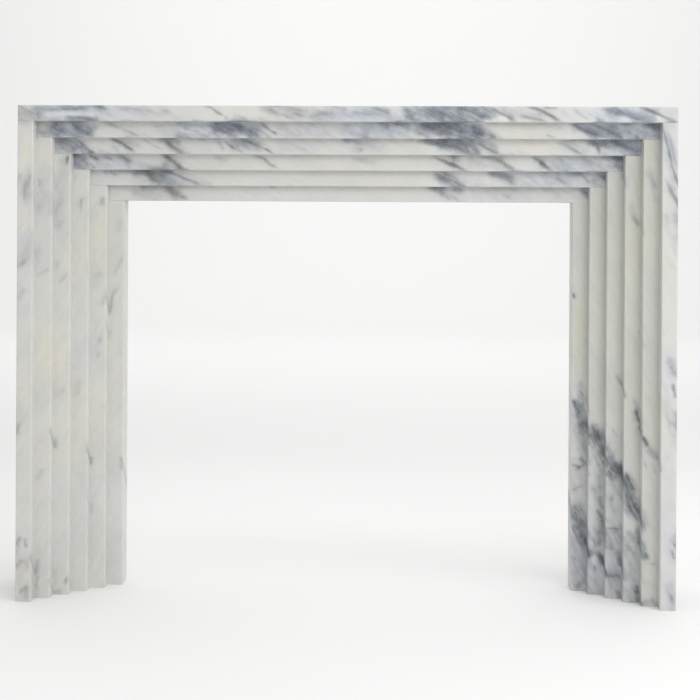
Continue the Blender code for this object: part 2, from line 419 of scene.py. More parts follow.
def marble(name, colours, cream, lilac, lean):
    """Honed marble: the seam attribute picks the colour, and fine noise gives it fibre, speckle and polish.

    cream and lilac multiply the colour where the tint attribute is above and below 0. lean turns the fibres
    about Y, from level. They are noise that is drawn out along its first axis.
    """
    material = bpy.data.materials.new(name)
    material.use_nodes = True
    nodes, links = material.node_tree.nodes, material.node_tree.links
    shader = nodes["Principled BSDF"]
    coordinates = nodes.new("ShaderNodeTexCoord")

    def noise(scale, detail, length=1):
        place = nodes.new("ShaderNodeMapping")
        place.vector_type = "TEXTURE"
        place.inputs["Rotation"].default_value = (0, lean, 0)
        place.inputs["Scale"].default_value = (length, 1, 1)
        links.new(coordinates.outputs["Object"], place.inputs["Vector"])
        texture = nodes.new("ShaderNodeTexNoise")
        texture.inputs["Scale"].default_value = scale
        texture.inputs["Detail"].default_value = detail
        texture.inputs["Roughness"].default_value = 0.6
        links.new(place.outputs["Vector"], texture.inputs["Vector"])
        return texture.outputs["Fac"]

    def attribute(attribute_name):
        reader = nodes.new("ShaderNodeAttribute")
        reader.attribute_name = attribute_name
        return reader.outputs["Fac"]

    def spread(value, given, wanted):
        remap = nodes.new("ShaderNodeMapRange")
        for socket, number in zip(("From Min", "From Max", "To Min", "To Max"), (*given, *wanted)):
            remap.inputs[socket].default_value = number
        links.new(value, remap.inputs["Value"])
        return remap.outputs["Result"]

    def combined(operation, first, second):
        maths = nodes.new("ShaderNodeMath")
        maths.operation = operation
        links.new(first, maths.inputs[0])
        links.new(second, maths.inputs[1])
        return maths.outputs["Value"]

    def tinted(base, amount, tint):
        mixer = nodes.new("ShaderNodeMix")
        mixer.data_type = "RGBA"
        mixer.blend_type = "MULTIPLY"
        links.new(amount, mixer.inputs["Factor"])
        links.new(base, mixer.inputs["A"])
        mixer.inputs["B"].default_value = (*tint, 1)
        return mixer.outputs["Result"]

    cloud = noise(scale=14.0, detail=4.0)
    fibre = noise(scale=70.0, detail=6.0, length=5)
    speckle = noise(scale=260.0, detail=3.0)
    crystal = noise(scale=1100.0, detail=2.0)

    seam = combined("MULTIPLY", attribute("seam"), spread(fibre, NOISE_RANGE, FIBRE_FACTOR))
    seam = combined("MULTIPLY", seam, spread(speckle, NOISE_RANGE, SPECKLE_FACTOR))
    seam = combined("ADD", seam, spread(cloud, NOISE_RANGE, CLOUD_ADDED))
    ramp = nodes.new("ShaderNodeValToRGB")
    while len(ramp.color_ramp.elements) < len(colours):
        ramp.color_ramp.elements.new(0.5)
    for element, (position, colour) in zip(ramp.color_ramp.elements, colours):
        element.position = position
        element.color = (*colour, 1)
    links.new(seam, ramp.inputs["Fac"])

    tint = attribute("tint")
    stone = tinted(ramp.outputs["Color"], spread(tint, (0, 1), (0, 1)), cream)
    stone = tinted(stone, spread(tint, (0, -1), (0, 1)), lilac)
    stone = tinted(stone, spread(crystal, CRYSTAL_RANGE, (0, 1)), CRYSTAL_GREY)
    links.new(stone, shader.inputs["Base Color"])
    links.new(spread(cloud, NOISE_RANGE, POLISH_ROUGHNESS), shader.inputs["Roughness"])
    shader.inputs["Metallic"].default_value = 0.0
    shader.inputs["Specular IOR Level"].default_value = POLISH_SPECULAR

    bump = nodes.new("ShaderNodeBump")
    bump.inputs["Strength"].default_value = FIBRE_BUMP
    bump.inputs["Distance"].default_value = FIBRE_RELIEF
    links.new(fibre, bump.inputs["Height"])
    links.new(bump.outputs["Normal"], shader.inputs["Normal"])
    return material


# Faces that meet at more than this keep a crisp edge
CRISP_ANGLE = math.radians(50)


def block(node, points, squares, seam, tint, material):
    """Makes a finished block of stone from its points and squares, in the place of a node of the frame."""
    name = node + "_marble"
    mesh = bpy.data.meshes.new(name)
    mesh.vertices.add(len(points))
    mesh.vertices.foreach_set("co", points.ravel())
    mesh.loops.add(squares.size)
    mesh.loops.foreach_set("vertex_index", squares.ravel())
    mesh.polygons.add(len(squares))
    mesh.polygons.foreach_set("loop_start", np.arange(0, squares.size, 4))
    mesh.update(calc_edges=True)
    mesh.attributes.new("seam", "FLOAT", "POINT").data.foreach_set("value", seam)
    mesh.attributes.new("tint", "FLOAT", "POINT").data.foreach_set("value", tint)
    mesh.shade_smooth()
    mesh.set_sharp_from_angle(angle=CRISP_ANGLE)
    mesh.materials.append(material)
    piece = bpy.data.objects.new(name, mesh)
    bpy.context.scene.collection.objects.link(piece)
    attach(piece, "root")
    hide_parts(node)


def jamb(node, side, clouds, veins, tints, coolness, slant, grain, material, seed):
    """One leg of the mantel: a block under the six steps, with a stair at its top and eased front edges.

    side is -1 on the left and 1 on the right, and coolness is how lilac the clouds are. The seed starts the
    noise of the seams.
    """
    tops = [HEIGHT - edge - JOINT_GAP for edge in STEP_EDGES[1:]]

    def is_stone(x, y, z):
        step = np.floor((HALF_WIDTH - side * x) / STEP_FACE)
        return (y - FRONT > step * STEP_SETBACK) & (z < HEIGHT - (step + 1) * STEP_FACE - JOINT_GAP)

    xs = np.sort(side * (HALF_WIDTH - ACROSS_LINES))
    heights = ruled([0.0] + tops, FINE_CELL)
    points, squares = stone_skin([xs, FRONT + DEPTH_LINES, heights], is_stone)
    height = points[:, 2]
    across = HALF_WIDTH - side * points[:, 0]
    depth = points[:, 1] - FRONT
    seam, veil = seam_greyness(height, across, depth, clouds, veins, slant, grain, seed)
    tint = stone_tint(height, across, tints, coolness * veil, seed + 140)

    ease(points, {0: side * HALF_WIDTH, 1: FRONT}, (-side, 1))
    for step in range(STEP_COUNT):
        arris = side * (HALF_WIDTH - STEP_EDGES[step + 1])
        ease(points, {0: arris, 1: FRONT + STEP_PLANES[step]}, (side, 1), (2, -1.0, tops[step]))
    block(node, points, squares, seam, tint, material)


jamb(
    "left_jamb",
    side=-1,
    clouds=LEFT_JAMB_CLOUDS,
    veins=LEFT_JAMB_VEINS,
    tints=LEFT_JAMB_TINTS,
    coolness=LEFT_JAMB_COOLNESS,
    slant=LEFT_JAMB_SLANT,
    grain=LEFT_JAMB_GRAIN,
    material=marble(
        "left_jamb_marble",
        LEFT_JAMB_COLOURS,
        LEFT_JAMB_CREAM,
        LEFT_JAMB_LILAC,
        lean=LEFT_JAMB_GRAIN - math.pi / 2,
    ),
    seed=11,
)

# Right jamb.
# The matching block for the other side, sawn from greyer stone. A broad slate-grey band falls across its
# lower half from the opening outwards, and the foot below it is mottled.

RIGHT_JAMB_SLANT = (0.7, 0.3)
RIGHT_JAMB_GRAIN = math.radians(26)

# Patches, veins and tints, listed as the left jamb's are
RIGHT_JAMB_CLOUDS = [
    (6, 0.009, 0.20, [(0.458, 0.010), (0.488, 0.018)]),
    (6, 0.007, 0.62, [(0.446, 0.030), (0.426, 0.019)]),
    (6, 0.005, 0.54, [(0.440, 0.012), (0.424, 0.005)]),
    (6, 0.006, 0.52, [(0.416, 0.022), (0.392, 0.013)]),
    (6, 0.006, 0.40, [(0.406, 0.005), (0.378, 0.000)]),
    (6, 0.016, 0.22, [(0.440, 0.020), (0.340, 0.008)]),
    (6, 0.007, 0.22, [(0.370, 0.014), (0.330, 0.002)]),
    (6, 0.006, 0.42, [(0.312, 0.012), (0.303, 0.002)]),
    (6, 0.016, 0.14, [(0.300, 0.020), (0.200, 0.018)]),
    (6, 0.012, 0.68, [(0.190, 0.032), (0.160, 0.018)]),
    (6, 0.011, 0.70, [(0.150, 0.020), (0.116, 0.002)]),
    (6, 0.016, 0.34, [(0.190, 0.024), (0.130, 0.004)]),
    (6, 0.022, 0.24, [(0.120, 0.026), (0.010, 0.014)]),
    (6, 0.006, 0.48, [(0.012, 0.018), (0.022, 0.010)]),
    (6, 0.004, 0.28, [(0.082, 0.036), (0.076, 0.026)]),
    (5, 0.016, 0.60, [(0.382, 0.040), (0.353, -0.004)]),
    (5, 0.008, 0.30, [(0.396, 0.030), (0.372, 0.006)]),
    (5, 0.009, 0.32, [(0.346, 0.020), (0.330, 0.004)]),
    (5, 0.010, 0.20, [(0.300, 0.014), (0.110, 0.012)]),
    (5, 0.006, 0.16, [(0.290, 0.006), (0.250, 0.010)]),
    (5, 0.006, 0.34, [(0.226, 0.008), (0.206, 0.003)]),
    (5, 0.005, 0.42, [(0.196, 0.012), (0.186, 0.006)]),
    (5, 0.006, 0.42, [(0.176, 0.003), (0.150, 0.006)]),
    (5, 0.005, 0.42, [(0.142, 0.004), (0.124, 0.010)]),
    (5, 0.005, 0.32, [(0.128, 0.018), (0.118, 0.012)]),
    (5, 0.006, 0.52, [(0.101, 0.036), (0.095, 0.011), (0.080, 0.000)]),
    (5, 0.007, 0.52, [(0.090, 0.008), (0.074, 0.003)]),
    (5, 0.018, 0.22, [(0.060, 0.020), (0.010, 0.018)]),
    (4, 0.006, 0.28, [(0.514, 0.008), (0.498, 0.001)]),
    (4, 0.011, 0.68, [(0.318, 0.036), (0.304, 0.018)]),
    (4, 0.010, 0.66, [(0.306, 0.018), (0.294, 0.002)]),
    (4, 0.006, 0.50, [(0.288, 0.034), (0.280, 0.018)]),
    (4, 0.018, 0.22, [(0.268, 0.018), (0.170, 0.018)]),
    (4, 0.004, 0.30, [(0.230, 0.021), (0.240, 0.019)]),
    (4, 0.018, 0.20, [(0.150, 0.018), (0.060, 0.018)]),
    (4, 0.006, 0.50, [(0.106, 0.008), (0.080, 0.002)]),
    (4, 0.005, 0.24, [(0.150, 0.024), (0.118, 0.026)]),
    (4, 0.018, 0.26, [(0.042, 0.018), (0.000, 0.019)]),
    (4, 0.005, 0.50, [(0.014, 0.006), (0.004, 0.003)]),
    (3, 0.006, 0.16, [(0.975, 0.034), (0.958, 0.034)]),
    (3, 0.006, 0.18, [(0.912, 0.022), (0.898, 0.018)]),
    (3, 0.007, 0.34, [(0.886, 0.016), (0.870, 0.006)]),
    (3, 0.004, 0.18, [(0.622, 0.004), (0.612, 0.001)]),
    (3, 0.014, 0.54, [(0.285, 0.034), (0.240, 0.020), (0.205, 0.006)]),
    (3, 0.006, 0.28, [(0.464, 0.014), (0.446, 0.006)]),
    (3, 0.006, 0.32, [(0.150, 0.034), (0.126, 0.026)]),
    (3, 0.009, 0.32, [(0.158, 0.022), (0.142, 0.006)]),
    (3, 0.006, 0.38, [(0.036, 0.006), (0.006, 0.003)]),
    (3, 0.018, 0.24, [(0.120, 0.020), (0.000, 0.018)]),
    (2, 0.010, 0.22, [(0.980, 0.024), (0.962, 0.014)]),
    (2, 0.006, 0.12, [(0.950, 0.016), (0.928, 0.012)]),
    (2, 0.007, 0.28, [(0.355, 0.018), (0.340, 0.002)]),
    (2, 0.009, 0.62, [(0.142, 0.038), (0.114, 0.030)]),
    (2, 0.006, 0.12, [(0.056, 0.020), (0.044, 0.008)]),
    (2, 0.006, 0.38, [(0.005, 0.034), (0.014, 0.014), (0.006, 0.004)]),
    (1, 0.016, 0.16, [(1.100, 0.024), (0.960, 0.010)]),
    (1, 0.007, 0.10, [(0.890, 0.026), (0.874, 0.022)]),
    (1, 0.009, 0.22, [(0.560, 0.014), (0.530, 0.004)]),
    (1, 0.005, 0.30, [(0.546, 0.012), (0.536, 0.008)]),
    (1, 0.005, 0.46, [(0.506, 0.010), (0.484, 0.004)]),
    (1, 0.010, 0.13, [(0.466, 0.024), (0.442, 0.012)]),
    (1, 0.012, 0.20, [(0.055, 0.014), (0.008, 0.006)]),
    (1, 0.004, 0.28, [(0.034, 0.012), (0.016, 0.007)]),
    (1, 0.024, 0.34, [(0.880, -0.010), (0.800, -0.034), (0.740, -0.058)]),
    (1, 0.026, 0.50, [(0.420, -0.014), (0.330, -0.052)]),
    (1, 0.020, 0.30, [(0.160, -0.010), (0.060, -0.054)]),
]

RIGHT_JAMB_VEINS = [
    (6, 0.0030, 0.58, [(0.704, 0.036), (0.692, 0.028)]),
    (6, 0.0022, 0.45, [(0.476, 0.016), (0.462, 0.010)]),
    (6, 0.0030, 0.50, [(0.300, 0.006), (0.288, 0.022)]),
    (6, 0.0020, 0.34, [(0.297, 0.036), (0.294, 0.012)]),
    (6, 0.0020, 0.30, [(0.250, 0.008), (0.246, 0.022), (0.240, 0.034)]),
    (6, 0.0028, 0.34, [(0.150, 0.034), (0.108, 0.010), (0.084, 0.000)]),
    (5, 0.0040, 0.30, [(0.395, 0.034), (0.364, 0.004)]),
    (5, 0.0020, 0.24, [(0.330, 0.024), (0.300, 0.010)]),
    (5, 0.0022, 0.40, [(0.070, 0.024), (0.060, 0.016), (0.054, 0.022)]),
    (4, 0.0025, 0.28, [(0.398, 0.022), (0.376, 0.010)]),
    (4, 0.0015, 0.40, [(0.164, 0.036), (0.162, 0.000)]),
    (4, 0.0030, 0.50, [(0.053, 0.036), (0.051, 0.000)]),
    (3, 0.0036, 0.85, [(0.446, 0.009), (0.434, 0.006), (0.414, 0.000)]),
    (3, 0.0028, 0.78, [(0.298, 0.033), (0.258, 0.012)]),
    (3, 0.0026, 0.66, [(0.288, 0.036), (0.235, 0.022)]),
    (3, 0.0032, 0.85, [(0.262, 0.035), (0.215, 0.019), (0.188, 0.006)]),
    (3, 0.0030, 0.82, [(0.250, 0.024), (0.203, 0.002)]),
    (2, 0.0042, 0.85, [(0.388, 0.036), (0.364, 0.021)]),
    (2, 0.0020, 0.26, [(0.332, 0.030), (0.312, 0.024)]),
    (2, 0.0020, 0.26, [(0.326, 0.012), (0.300, 0.004)]),
    (2, 0.0020, 0.22, [(0.100, 0.030), (0.098, 0.004)]),
    (1, 0.0026, 0.56, [(1.105, 0.039), (1.060, 0.029), (1.000, 0.013), (0.962, 0.002), (0.860, -0.030)]),
    (1, 0.0022, 0.26, [(1.080, 0.024), (1.030, 0.012), (1.000, 0.004)]),
    (1, 0.0040, 0.42, [(0.970, 0.028), (0.938, 0.014), (0.915, 0.002), (0.840, -0.025)]),
    (1, 0.0030, 0.36, [(0.700, -0.004), (0.640, -0.030), (0.600, -0.062)]),
    (1, 0.0035, 0.42, [(0.480, -0.004), (0.420, -0.034), (0.380, -0.062)]),
    (1, 0.0022, 0.36, [(0.152, 0.006), (0.145, 0.004)]),
    (1, 0.0024, 0.50, [(0.136, 0.011), (0.116, 0.006)]),
]

# The first five cream patches, on steps 2 to 6 in the upper half, are painted light: a warm cast that stands
# in for light glowing through the shaded stone there. The other patches are the stone's own cream and lilac.
RIGHT_JAMB_TINTS = [
    (0.800, 0.090, 0.120, 0.014, 0.70),
    (0.800, 0.125, 0.120, 0.012, 0.70),
    (0.800, 0.160, 0.150, 0.012, 0.60),
    (0.620, 0.200, 0.100, 0.012, 0.75),
    (0.850, 0.055, 0.060, 0.012, 0.60),
    (1.050, 0.055, 0.040, 0.012, 0.70),
    (0.520, 0.096, 0.070, 0.010, 0.60),
    (0.300, 0.055, 0.120, 0.012, 0.35),
    (1.040, 0.018, 0.090, 0.020, -0.70),
    (0.540, 0.018, 0.050, 0.016, -0.70),
    (0.130, 0.020, 0.170, 0.020, -0.70),
    (0.412, 0.192, 0.012, 0.006, -0.90),
    (0.420, 0.212, 0.060, 0.008, -0.60),
    (0.070, 0.198, 0.070, 0.020, -0.90),
    (0.240, 0.174, 0.100, 0.008, -0.80),
    (0.060, 0.164, 0.070, 0.020, -0.80),
    (0.080, 0.126, 0.060, 0.020, -0.90),
    (0.180, 0.104, 0.030, 0.010, -0.70),
    (0.070, 0.090, 0.060, 0.020, -0.40),
]

# The colours from clear ground to the heart of a seam, and the tints. The cream tint is also the colour of
# the painted glow in the first five patches
RIGHT_JAMB_COLOURS = [
    (0.00, (0.632, 0.633, 0.602)),
    (0.12, (0.555, 0.562, 0.546)),
    (0.25, (0.468, 0.480, 0.472)),
    (0.50, (0.312, 0.328, 0.326)),
    (0.75, (0.192, 0.208, 0.208)),
    (1.00, (0.112, 0.123, 0.124)),
]
RIGHT_JAMB_CREAM_AND_GLOW = (1.000, 1.000, 0.870)
RIGHT_JAMB_LILAC = (0.945, 0.955, 1.050)
RIGHT_JAMB_COOLNESS = 0.8

jamb(
    "right_jamb",
    side=1,
    clouds=RIGHT_JAMB_CLOUDS,
    veins=RIGHT_JAMB_VEINS,
    tints=RIGHT_JAMB_TINTS,
    coolness=RIGHT_JAMB_COOLNESS,
    slant=RIGHT_JAMB_SLANT,
    grain=RIGHT_JAMB_GRAIN,
    material=marble(
        "right_jamb_marble",
        RIGHT_JAMB_COLOURS,
        RIGHT_JAMB_CREAM_AND_GLOW,
        RIGHT_JAMB_LILAC,
        lean=math.pi / 2 - RIGHT_JAMB_GRAIN,
    ),
    seed=211,
)

# Lintel.
# The long block bedded on the stair tops of both jambs. Its marble is the most veined: blue-grey seams fall
# from upper left to lower right across all six steps, thickest above the ends and right of the middle.

# The longest cell of its mesh along its length
LINTEL_CELL = 0.0034
# How far the sheets run along the block for each metre of depth, and up from its top, and the grain's fall
LINTEL_SLANT = (-1.5, 0.3)
LINTEL_GRAIN = math.radians(28)

# Soft patches of grey: step, half width, strength, path as (distance from the left end, down from the step's
# top). A strength below 0 clears the stone again. Places above the first step's top show on top of the block.
LINTEL_CLOUDS = [
    (1, 0.016, 0.34, [(0.008, 0.016), (0.044, 0.018)]),
    (1, 0.008, 0.24, [(0.040, 0.006), (0.190, 0.006)]),
    (1, 0.006, -0.22, [(0.064, 0.019), (0.170, 0.020)]),
    (1, 0.012, 0.08, [(0.060, 0.024), (0.330, 0.024)]),
    (1, 0.005, 0.28, [(0.112, 0.030), (0.180, 0.033)]),
    (1, 0.005, 0.24, [(0.008, 0.033), (0.045, 0.033)]),
    (1, 0.007, 0.12, [(0.215, 0.004), (0.300, 0.012)]),
    (1, 0.018, -0.10, [(0.480, 0.018), (0.550, 0.016)]),
    (1, 0.011, 0.20, [(0.560, 0.006), (0.690, 0.022)]),
    (1, 0.007, 0.26, [(0.703, 0.016), (0.720, 0.020)]),
    (1, 0.012, 0.16, [(0.690, 0.018), (0.860, 0.026)]),
    (1, 0.008, 0.22, [(0.800, 0.006), (0.842, 0.016)]),
    (1, 0.020, 0.55, [(0.900, 0.014), (1.075, 0.020)]),
    (1, 0.006, 0.22, [(0.940, 0.003), (1.070, 0.006)]),
    (1, 0.008, -0.50, [(1.070, 0.030), (1.108, 0.030)]),
    (1, 0.007, -0.35, [(0.978, 0.028), (0.992, 0.030)]),
    (1, 0.010, 0.20, [(1.110, 0.010), (1.180, 0.020)]),
    (1, 0.016, 0.10, [(1.240, 0.018), (1.330, 0.020)]),
    (1, 0.011, 0.42, [(1.346, 0.007), (1.440, 0.026)]),
    (1, 0.012, 0.12, [(1.455, 0.008), (1.495, 0.012)]),
    (2, 0.020, 0.36, [(0.040, 0.016), (0.085, 0.018)]),
    (2, 0.018, 0.36, [(0.090, 0.018), (0.150, 0.020)]),
    (2, 0.009, 0.30, [(0.136, 0.006), (0.166, 0.020)]),
    (2, 0.005, 0.34, [(0.070, 0.014), (0.080, 0.006)]),
    (2, 0.008, 0.10, [(0.200, 0.004), (0.285, 0.010)]),
    (2, 0.012, 0.04, [(0.250, 0.026), (0.330, 0.024)]),
    (2, 0.014, 0.12, [(0.310, 0.008), (0.350, 0.024)]),
    (2, 0.008, 0.26, [(0.365, 0.003), (0.430, 0.010)]),
    (2, 0.007, 0.24, [(0.370, 0.030), (0.432, 0.030)]),
    (2, 0.017, 0.54, [(0.460, 0.010), (0.540, 0.020)]),
    (2, 0.010, 0.34, [(0.440, 0.006), (0.500, 0.012)]),
    (2, 0.018, 0.15, [(0.600, 0.016), (0.760, 0.016)]),
    (2, 0.010, 0.18, [(0.755, 0.008), (0.795, 0.026)]),
    (2, 0.020, 0.28, [(0.800, 0.018), (0.905, 0.018)]),
    (2, 0.018, 0.62, [(0.932, 0.008), (1.050, 0.022)]),
    (2, 0.008, 0.35, [(1.045, 0.012), (1.088, 0.032)]),
    (2, 0.018, 0.05, [(1.120, 0.018), (1.230, 0.018)]),
    (2, 0.012, 0.40, [(1.276, 0.004), (1.365, 0.026)]),
    (2, 0.018, 0.34, [(1.310, 0.020), (1.460, 0.018)]),
    (2, 0.008, 0.50, [(1.430, 0.006), (1.464, 0.010)]),
    (3, 0.018, 0.38, [(0.078, 0.014), (0.112, 0.020)]),
    (3, 0.013, 0.24, [(0.112, 0.012), (0.140, 0.024)]),
    (3, 0.006, 0.20, [(0.206, 0.019), (0.216, 0.025)]),
    (3, 0.008, 0.16, [(0.215, 0.006), (0.262, 0.018)]),
    (3, 0.007, 0.30, [(0.322, 0.003), (0.356, 0.008)]),
    (3, 0.006, 0.28, [(0.456, 0.010), (0.463, 0.022)]),
    (3, 0.014, 0.34, [(0.490, 0.012), (0.545, 0.016)]),
    (3, 0.012, 0.10, [(0.600, 0.012), (0.670, 0.028)]),
    (3, 0.006, 0.24, [(0.750, 0.002), (0.775, 0.006)]),
    (3, 0.014, 0.13, [(0.775, 0.018), (0.830, 0.014)]),
    (3, 0.006, 0.36, [(0.920, 0.003), (0.955, 0.008)]),
    (3, 0.014, 0.52, [(0.968, 0.006), (1.048, 0.030)]),
    (3, 0.010, 0.25, [(1.060, 0.008), (1.090, 0.022)]),
    (3, 0.010, 0.14, [(1.245, 0.008), (1.300, 0.026)]),
    (3, 0.008, 0.48, [(1.315, 0.004), (1.345, 0.010)]),
    (3, 0.015, 0.38, [(1.350, 0.010), (1.415, 0.024)]),
    (3, 0.013, 0.30, [(1.405, 0.012), (1.430, 0.024)]),
    (4, 0.018, 0.60, [(0.108, 0.012), (0.128, 0.020)]),
    (4, 0.006, 0.22, [(0.144, 0.022), (0.156, 0.030)]),
    (4, 0.008, 0.18, [(0.176, 0.003), (0.245, 0.010)]),
    (4, 0.012, 0.12, [(0.170, 0.024), (0.330, 0.024)]),
    (4, 0.009, 0.12, [(0.447, 0.006), (0.462, 0.012)]),
    (4, 0.007, 0.16, [(0.770, 0.008), (0.810, 0.016)]),
    (4, 0.014, 0.14, [(1.040, 0.010), (1.100, 0.022)]),
    (4, 0.018, 0.20, [(1.245, 0.018), (1.385, 0.018)]),
    (4, 0.006, 0.40, [(1.350, 0.003), (1.392, 0.006)]),
    (4, 0.010, 0.30, [(1.380, 0.014), (1.392, 0.030)]),
    (5, 0.005, 0.20, [(0.176, 0.003), (0.240, 0.003)]),
    (5, 0.012, 0.36, [(0.304, 0.010), (0.336, 0.030)]),
    (5, 0.007, 0.40, [(0.316, 0.003), (0.330, 0.006)]),
    (5, 0.009, 0.12, [(0.380, 0.030), (0.420, 0.034)]),
    (5, 0.010, 0.34, [(0.965, 0.012), (1.020, 0.032)]),
    (5, 0.009, 0.42, [(1.094, 0.004), (1.124, 0.014)]),
    (5, 0.018, 0.17, [(1.130, 0.016), (1.345, 0.018)]),
    (5, 0.006, 0.30, [(1.266, 0.004), (1.292, 0.006)]),
    (6, 0.014, 0.12, [(0.250, 0.012), (0.290, 0.026)]),
    (6, 0.008, 0.14, [(0.955, 0.003), (1.020, 0.006)]),
    (6, 0.009, 0.18, [(0.960, 0.010), (1.005, 0.028)]),
    (6, 0.018, 0.12, [(1.030, 0.018), (1.310, 0.018)]),
    (6, 0.008, 0.35, [(1.306, 0.008), (1.318, 0.020)]),
    (1, 0.010, 0.30, [(0.120, -0.004), (0.040, -0.046)]),
    (1, 0.012, 0.12, [(0.330, -0.010), (0.250, -0.050)]),
    (1, 0.014, 0.26, [(0.600, -0.008), (0.500, -0.058)]),
    (1, 0.016, 0.14, [(0.780, -0.010), (0.680, -0.058)]),
    (1, 0.012, 0.42, [(0.960, -0.006), (0.880, -0.040)]),
    (1, 0.016, 0.38, [(1.010, -0.010), (0.910, -0.058)]),
    (1, 0.010, 0.34, [(1.390, -0.006), (1.300, -0.056)]),
    (1, 0.022, 0.45, [(1.540, 0.010), (1.640, 0.050)]),
    (3, 0.030, 0.50, [(1.500, 0.030), (1.660, 0.100)]),
    (5, 0.026, 0.40, [(1.360, 0.010), (1.500, 0.060)]),
]

